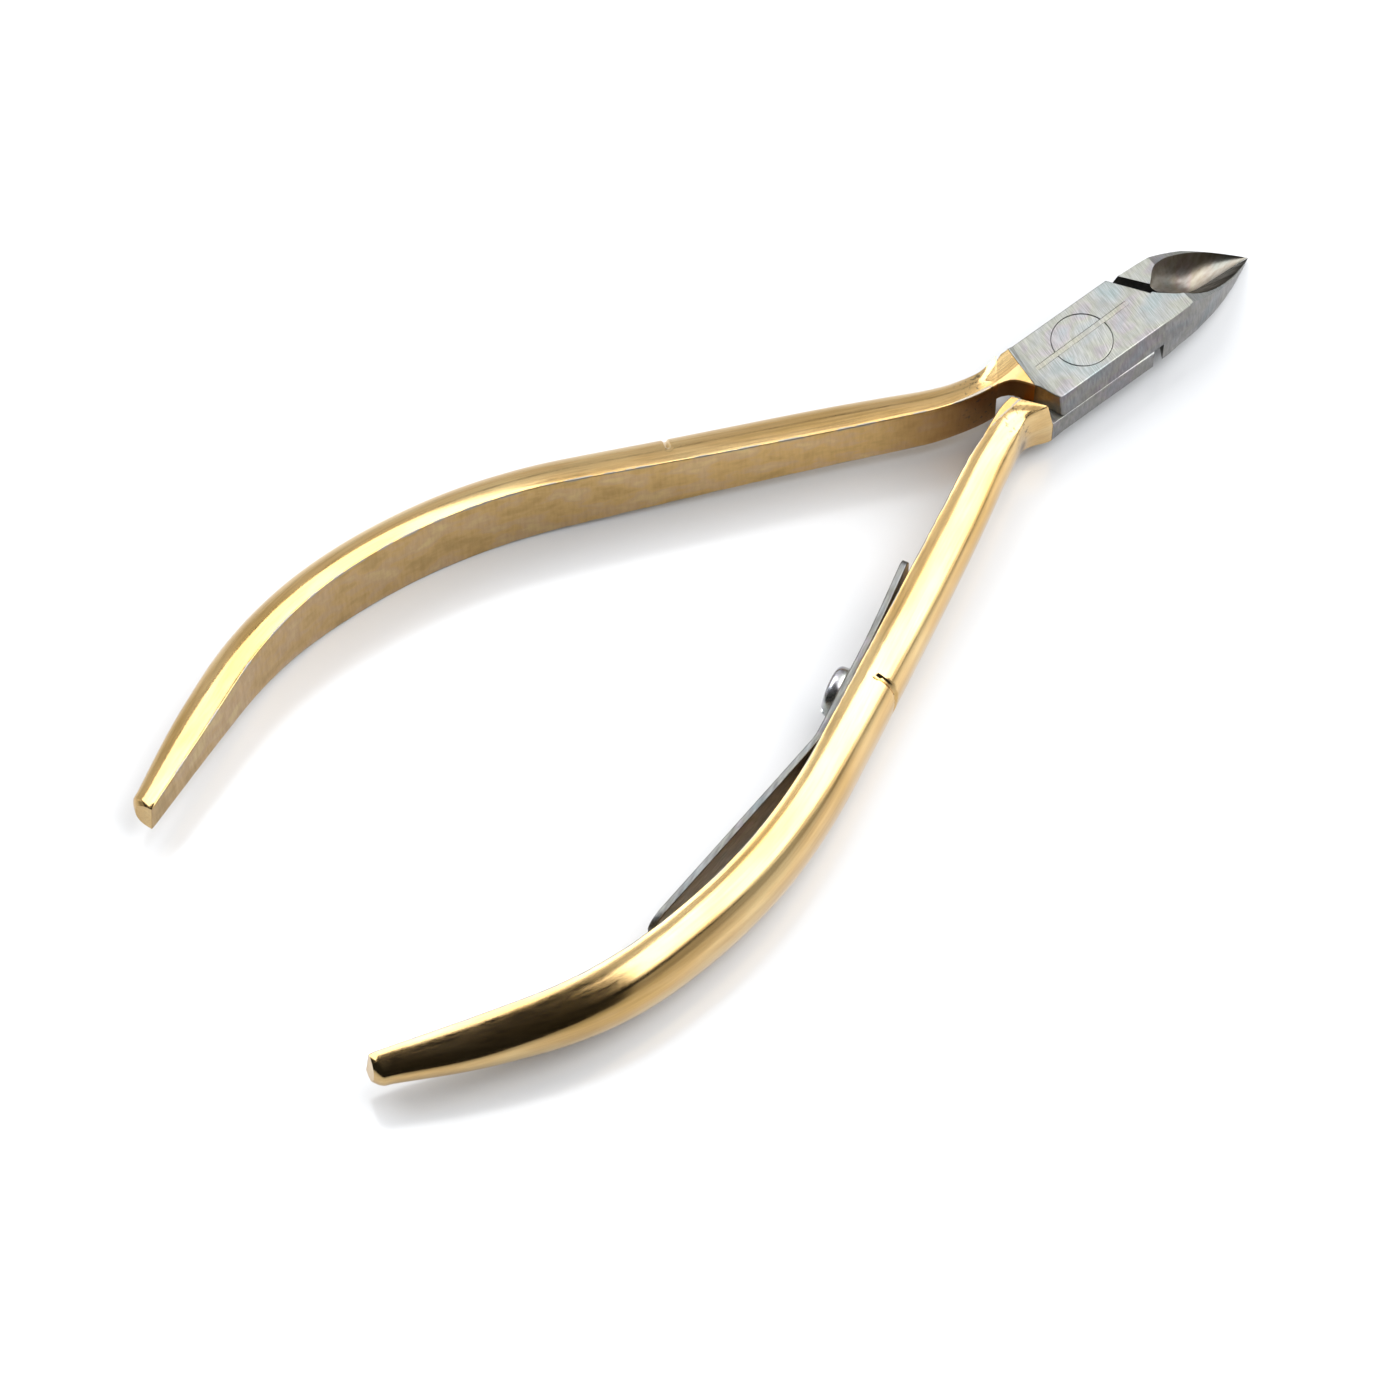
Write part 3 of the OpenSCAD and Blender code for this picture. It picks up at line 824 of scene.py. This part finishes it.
ground_steel_finish = ground_finish()
# The sides' coarser grinding is their own; their darker colour is painted shade.
coarse_shaded_side_steel = metal_material("coarse_shaded_side_steel", ground_steel_finish, ground(
    (0.165, 0.161, 0.165), (0.24, 0.234, 0.238), 0.34, (5.0, 0.9, 1.2), 0.12), 0.00002)
ground_steel = metal_material("ground_steel", ground_steel_finish, ground(
    (0.22, 0.226, 0.224), (0.34, 0.35, 0.35), 0.3, (11.0, 0.7, 2.0), 0.12), 0.00002)
hollow_steel = {
    # Painted shade: the near jaw's hollow gets a much darker steel than the far jaw's hollow.
    "upper": metal_material("shaded_hollow_steel_near", ground_steel_finish, ground(
        (0.045, 0.04, 0.035), (0.11, 0.1, 0.09), 0.34, (0.8, 7.0, 0.8), 0.2), 0.00002),
    "lower": metal_material("hollow_steel_far", ground_steel_finish, ground(
        (0.165, 0.14, 0.115), (0.225, 0.21, 0.19), 0.33, (0.8, 4.0, 0.8), -0.2), 0.000008),
}

def pivot_bore(upper):
    """The rivet's seat: through the upper plate, and a stepped bearing in the lower one."""
    if upper:
        profile = [
            (RIVET_R + 0.03, 1.0), (RIVET_R + 0.03, HEAD_TOP - 0.03), (RIVET_R + 0.063, HEAD_TOP + 0.003),
            (RIVET_R + 0.063, HEAD_TOP + 1),
        ]
    else:
        profile = [
            (FOOT_R + 0.07, -1.0), (FOOT_R + 0.07, 0.0), (FOOT_R + 0.04, 0.03),
            (FOOT_R + 0.04, FOOT_H + 0.04), (BEARING_R + 0.04, FOOT_H + 0.05), (BEARING_R + 0.04, 3.0),
        ]
    return solid("bore", *loft(turned(profile, upright, 128)))


def finish_faces(piece, side, index):
    """Gives a solid the head's two first finishes, and all its faces one of them."""
    piece.data.materials.clear()
    piece.data.materials.append(ground_steel)
    piece.data.materials.append(hollow_steel[side])
    for face in piece.data.polygons:
        face.material_index = index


heads = {}
for side, upper in (("upper", True), ("lower", False)):
    head = plate(side + "_head", upper)
    combine(head, pivot_bore(upper), "DIFFERENCE")
    combine(head, strip_groove() if upper else run_out(), "DIFFERENCE")
    combine(head, jaw("jaw", upper), "UNION")
    combine(head, brow_cutter(), "DIFFERENCE")
    cutter = hollow_cutter()
    finish_faces(head, side, 0)
    finish_faces(cutter, side, 1)
    combine(head, cutter, "DIFFERENCE")
    soften(head, 18)
    darken_sides(head)
    heads[side] = head

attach(upper_handle, "upper_half")
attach(heads["upper"], "upper_half")
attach(lower_handle, "lower_half")
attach(heads["lower"], "lower_half")
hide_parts("upper_lever")
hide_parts("upper_lever")
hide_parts("lower_lever")
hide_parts("lower_lever")

# ---------------------------------------------------------------------------
# The pivot rivet and its locking strip.
# A turned steel rivet, its head ground flush with the plate. The strip is
# pressed into a groove across both, so that the rivet turns with the upper lever.
# ---------------------------------------------------------------------------
rivet_profile = [
    (0.3, 0.0), (FOOT_R - 0.04, 0.0), (FOOT_R - 0.01, 0.012), (FOOT_R, 0.04), (FOOT_R, FOOT_H),
    (BEARING_R, FOOT_H), (BEARING_R, LAP_Z + LAP_GAP), (RIVET_R - 0.02, LAP_Z + LAP_GAP),
    (RIVET_R - 0.02, HEAD_TOP - 0.035), (RIVET_R - 0.03, HEAD_TOP - 0.012), (RIVET_R - 0.06, HEAD_TOP),
    (0.3, HEAD_TOP),
]
rivet = solid("pivot_rivet_head", *loft(turned(rivet_profile, upright, 128)))
combine(rivet, strip_groove(), "DIFFERENCE")
soften(rivet, 18)
rivet_steel = metal_material("rivet_steel", ground_steel_finish, ground(
    (0.23, 0.237, 0.236), (0.35, 0.36, 0.36), 0.29, (11.0, 0.9, 2.0), 0.3), 0.00002)
rivet.data.materials.append(rivet_steel)
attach(rivet, "upper_half")
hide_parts("pivot_rivet")

strip_levels = [
    (HEAD_TOP - STRIP_DEPTH, -0.02), (HEAD_TOP - STRIP_DEPTH + 0.03, 0.0), (HEAD_TOP - 0.02, 0.0),
    (HEAD_TOP - 0.006, -0.006), (HEAD_TOP, -0.018),
]
strip = solid("locking_strip", *loft([
    [(x, y, z) for x, y in strip_outline(grow)] for z, grow in strip_levels]))
soften(strip, 18)
strip_metal = metal_material("strip_metal", ground_steel_finish, ground(
    (0.25, 0.25, 0.232), (0.355, 0.355, 0.337), 0.32, (11.0, 0.9, 2.0), 0.12), 0.00001)
strip.data.materials.append(strip_metal)
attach(strip, "upper_half")
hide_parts("lock_strip")

# ---------------------------------------------------------------------------
# The leaf spring.
# One strip of spring steel, blanked with a square tail and a narrow free end,
# bent once, hardened dark and held flat on the handle by its screw.
# ---------------------------------------------------------------------------
LEAF_T, LEAF_W = 0.55, 5.0
TAIL_REACH, BEND_REACH, FREE_REACH = 12.2, 5.4, 25.4
FREE_ANGLE = math.atan2(5.12, FREE_REACH - BEND_REACH)
FACE_GAP = 0.05
TAIL_LIFT, TAIL_LIFT_START = 0.5, 2.5
TAIL_ROUND, FREE_ROUND, FREE_FLAT = 0.9, 1.35, 0.12
LEAF_EDGE = 0.12
ACROSS_POINTS = 14


def leaf_lift(u):
    """Height of the leaf's underside off the handle's inner face."""
    if u > TAIL_LIFT_START:
        return FACE_GAP + TAIL_LIFT * smooth((u - TAIL_LIFT_START) / 14)
    if u > -BEND_REACH + 0.5:
        return FACE_GAP
    run = -BEND_REACH + 0.5 - u
    soft = 1.2
    bent = run - soft / 2 if run > soft else run * run / (2 * soft)
    return FACE_GAP + bent * math.tan(FREE_ANGLE)


def leaf_half(u):
    """Half the leaf's width, with its corners rounded at both ends."""
    half = LEAF_W / 2
    if u > TAIL_REACH - TAIL_ROUND:
        run = u - (TAIL_REACH - TAIL_ROUND)
        return half - TAIL_ROUND + math.sqrt(max(0.0, TAIL_ROUND ** 2 - run ** 2))
    if u > -BEND_REACH:
        return half
    if u < -FREE_REACH + FREE_ROUND:
        run = (-FREE_REACH + FREE_ROUND) - u
        return max(FREE_FLAT, math.sqrt(max(0.0, FREE_ROUND ** 2 - run ** 2)) + FREE_FLAT)
    share = (-BEND_REACH - u) / (FREE_REACH - BEND_REACH)
    return half + (FREE_ROUND + FREE_FLAT - half) * share


def spread(start, stop, count):
    """Even steps from start up to, but not onto, stop."""
    return [start + (stop - start) * i / count for i in range(count)]


def leaf_ring(u):
    """The leaf's section at u: a thin bar with rounded edges, thinned off at both ends."""
    half, middle = leaf_half(u), leaf_lift(u) + LEAF_T / 2
    end = min(1.0, (TAIL_REACH - u) / 0.12 + 0.55, (u + FREE_REACH) / 0.12 + 0.55)
    t = LEAF_T * end
    r = min(LEAF_EDGE, t / 2 - 0.01)
    flat = half - r
    under = [(flat * (2 * k / ACROSS_POINTS - 1), -t / 2) for k in range(ACROSS_POINTS + 1)]
    edge = [(flat + r * math.sin(a), r - t / 2 - r * math.cos(a)) for a in (0.5, 1.05, 1.57)]
    edge += [(w, -v) for w, v in reversed(edge)]
    # The upper face and the other edge are these turned half round.
    outline = under + edge + [(-w, -v) for w, v in under + edge]
    return [at_screw(u, middle + v, w) for w, v in outline]


bend_start, bend_stop = -(BEND_REACH - 1.2), -(BEND_REACH + 1.8)
leaf_stations = [TAIL_REACH - TAIL_ROUND * (1 - math.cos(math.pi / 2 * i / 10)) for i in range(10)]
leaf_stations += spread(TAIL_REACH - TAIL_ROUND, bend_start, 40)
leaf_stations += spread(bend_start, bend_stop, 24)
leaf_stations += spread(bend_stop, -(FREE_REACH - FREE_ROUND), 36)
leaf_stations += [-(FREE_REACH - FREE_ROUND) - FREE_ROUND * math.sin(math.pi / 2 * i / 10) for i in range(11)]
leaf_rings = [leaf_ring(u) for u in leaf_stations]
leaf = solid("spring_leaf", *loft(leaf_rings))
leaf_hole = solid("leaf_hole", *loft(turned([(SCREW_R + 0.04, -0.3), (SCREW_R + 0.04, 1.2)], at_screw)))
combine(leaf, leaf_hole, "DIFFERENCE")
soften(leaf, 40)
leaf_steel = metal_material("hardened_leaf", ground_steel_finish, ground(
    (0.13, 0.132, 0.135), (0.23, 0.235, 0.24), 0.4, (0.5, 4.0, 6.0), -FRONT_ANGLE), 0.00002)
# Painted reflection: the leaf's broad faces get a paler, browner steel than its dark edges.
leaf_flats_painted_reflection = metal_material("leaf_flats_painted_reflection", ground_steel_finish, ground(
    (0.36, 0.32, 0.29), (0.56, 0.51, 0.48), 0.42, (0.5, 4.0, 6.0), -FRONT_ANGLE), 0.00002)
leaf.data.materials.append(leaf_steel)
leaf.data.materials.append(leaf_flats_painted_reflection)
for face in leaf.data.polygons:
    face.material_index = 1 if abs(face.normal.z) < 0.2 and face.normal.y ** 2 > 0.4 else 0
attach(leaf, "spring")
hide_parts("leaf_spring")

# ---------------------------------------------------------------------------
# The spring's screw.
# A small cheese-and-dome headed screw, turned, slotted and polished, driven
# through the leaf into the handle.
# ---------------------------------------------------------------------------
HEAD_R, HEAD_H = 2.1, 1.12
RIM_H, CROWN_R = 0.6, 0.42
SEAT = FACE_GAP + LEAF_T + FACE_GAP
SLOT_HALF, SLOT_DEPTH = 0.28, 0.4
screw_profile = [
    (0.2, -SCREW_DEPTH), (SCREW_R - 0.2, -SCREW_DEPTH), (SCREW_R, -SCREW_DEPTH + 0.2), (SCREW_R, SEAT),
    (HEAD_R - 0.16, SEAT), (HEAD_R - 0.05, SEAT + 0.04), (HEAD_R, SEAT + 0.16), (HEAD_R, SEAT + RIM_H),
]
for i in range(1, 15):
    a = math.pi / 2 * i / 14
    radius = HEAD_R - CROWN_R * (1 - math.cos(a)) - (HEAD_R - CROWN_R) * max(0.0, (a - 1.2) / 0.3708)
    screw_profile.append((max(0.05, radius), SEAT + RIM_H + (HEAD_H - RIM_H) * math.sin(a) ** 0.9))
screw = solid("leaf_screw", *loft(turned(screw_profile, at_screw, 96)))
slot_section = [
    (SEAT + HEAD_H - SLOT_DEPTH, -SLOT_HALF), (SEAT + HEAD_H - SLOT_DEPTH, SLOT_HALF),
    (SEAT + HEAD_H + 0.5, SLOT_HALF + 0.02), (SEAT + HEAD_H + 0.5, -SLOT_HALF - 0.02),
]
slot_box = [[at_screw(u, v, w) for v, w in slot_section] for u in (-3.0, 3.0)]
combine(screw, solid("slot_cutter", *loft(slot_box)), "DIFFERENCE")
soften(screw, 35)
screw_steel = metal_material("screw_steel", ground_steel_finish, ground(
    (0.42, 0.45, 0.48), (0.55, 0.58, 0.61), 0.2, (2.0, 2.0, 2.0), 0.0), 0.000005)
screw.data.materials.append(screw_steel)
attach(screw, "lower_half")
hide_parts("spring_screw")

# ---------------------------------------------------------------------------
# The studio: a white sweep of glossy board, big softboxes and a long lens.
# ---------------------------------------------------------------------------
floor_z = cad_low.z - 0.00002
mesh = bpy.data.meshes.new("floor")
mesh.from_pydata([(-3, -3, floor_z), (3, -3, floor_z), (3, 3, floor_z), (-3, 3, floor_z)], [], [(0, 1, 2, 3)])
floor = bpy.data.objects.new("floor", mesh)
bpy.context.scene.collection.objects.link(floor)
board = bpy.data.materials.new("white_board")
board.use_nodes = True
shader = board.node_tree.nodes["Principled BSDF"]
shader.inputs["Base Color"].default_value = (0.65, 0.662, 0.68, 1)
shader.inputs["Roughness"].default_value = 0.16
shader.inputs["Specular IOR Level"].default_value = 0.6
floor.data.materials.append(board)

world = bpy.data.worlds.new("room")
bpy.context.scene.world = world
world.use_nodes = True
world.node_tree.nodes["Background"].inputs["Color"].default_value = (0.95, 0.97, 1.0, 1)
world.node_tree.nodes["Background"].inputs["Strength"].default_value = 0.022


def softbox(name, middle, across, up, radiance):
    """A rectangular softbox: its middle, and the halves of its two sides, in metres from the pivot."""
    middle, across, up = Vector(middle), Vector(across), Vector(up)
    if across.cross(up).dot(middle) < 0:
        across = -across
    light = bpy.data.lights.new(name, "AREA")
    light.shape = "RECTANGLE"
    light.size, light.size_y = 2 * across.length, 2 * up.length
    light.energy = radiance * math.pi * light.size * light.size_y
    lamp = bpy.data.objects.new(name, light)
    bpy.context.scene.collection.objects.link(lamp)
    turn = Matrix((across.normalized(), up.normalized(), across.cross(up).normalized())).transposed()
    lamp.matrix_world = Matrix.Translation(middle) @ turn.to_4x4()


KEY_MIDDLE = Vector((0.62, -0.45, 0.64))
KEY_ACROSS = Vector((0.782, 0.3565, -0.507))
KEY_UP = Vector((0, 0.818, 0.575))


def key_part(name, left, right, bottom, top, reach, radiance):
    """A stretch of the key softbox's plane, between its edges."""
    middle = KEY_MIDDLE + KEY_ACROSS * (left + right) / 2 + KEY_UP * (bottom + top) / 2
    across, up = KEY_ACROSS * (right - left) / 2, KEY_UP * (top - bottom) / 2
    softbox(name, middle * reach, across * reach, up * reach, radiance)


key_part("key_box", -0.75, 0.8, -0.3, 0.8, 1.6, 3.6)
key_part("key_box_lower", -0.7, 0.8, -0.48, -0.3, 1.6, 1.2)
softbox("back_box", (-0.184, 0.96, 1.28), (0.776, 0, 0), (0, -0.435, 0.326), 3.8)
softbox("ceiling", (2.1, 0, 2.4), (1.98, 0, 0), (0, 3.5, 0), 0.9)
softbox("back_wall", (0.6, 3.5, 1.1), (3.6, 0, 0), (0, 0, 1.1), 0.8)
softbox("side_wall", (3.8, -0.4, 0.9), (0, 2.9, 0), (0, 0, 0.9), 0.5)
softbox("front_wall", (2.0, -3.4, 0.7), (1.9, 0, 0), (0, 0, 0.7), 0.5)
softbox("left_panel", (-2.4, 1.9, 0.9), (0.6, 0.75, 0), (0, 0, 0.9), 0.4)

CAMERA_RISE, CAMERA_SIDE = math.radians(60.15), math.radians(39.51)
CAMERA_AIM = Vector((-0.04285, -0.00291, -0.00145))
CAMERA_DISTANCE = 0.4744
CAMERA_FOCUS = 6000 / 1390
lens = bpy.data.cameras.new("camera")
lens.sensor_width = 36.0
lens.lens = CAMERA_FOCUS * lens.sensor_width
lens.clip_start = 0.01
camera = bpy.data.objects.new("camera", lens)
bpy.context.scene.collection.objects.link(camera)
look = Vector((
    math.cos(CAMERA_RISE) * math.sin(CAMERA_SIDE), math.cos(CAMERA_RISE) * math.cos(CAMERA_SIDE),
    -math.sin(CAMERA_RISE),
))
camera.location = CAMERA_AIM - look * CAMERA_DISTANCE
camera.rotation_mode = "QUATERNION"
camera.rotation_quaternion = look.to_track_quat("-Z", "Y")
bpy.context.scene.camera = camera
bpy.context.scene.view_settings.view_transform = "Standard"
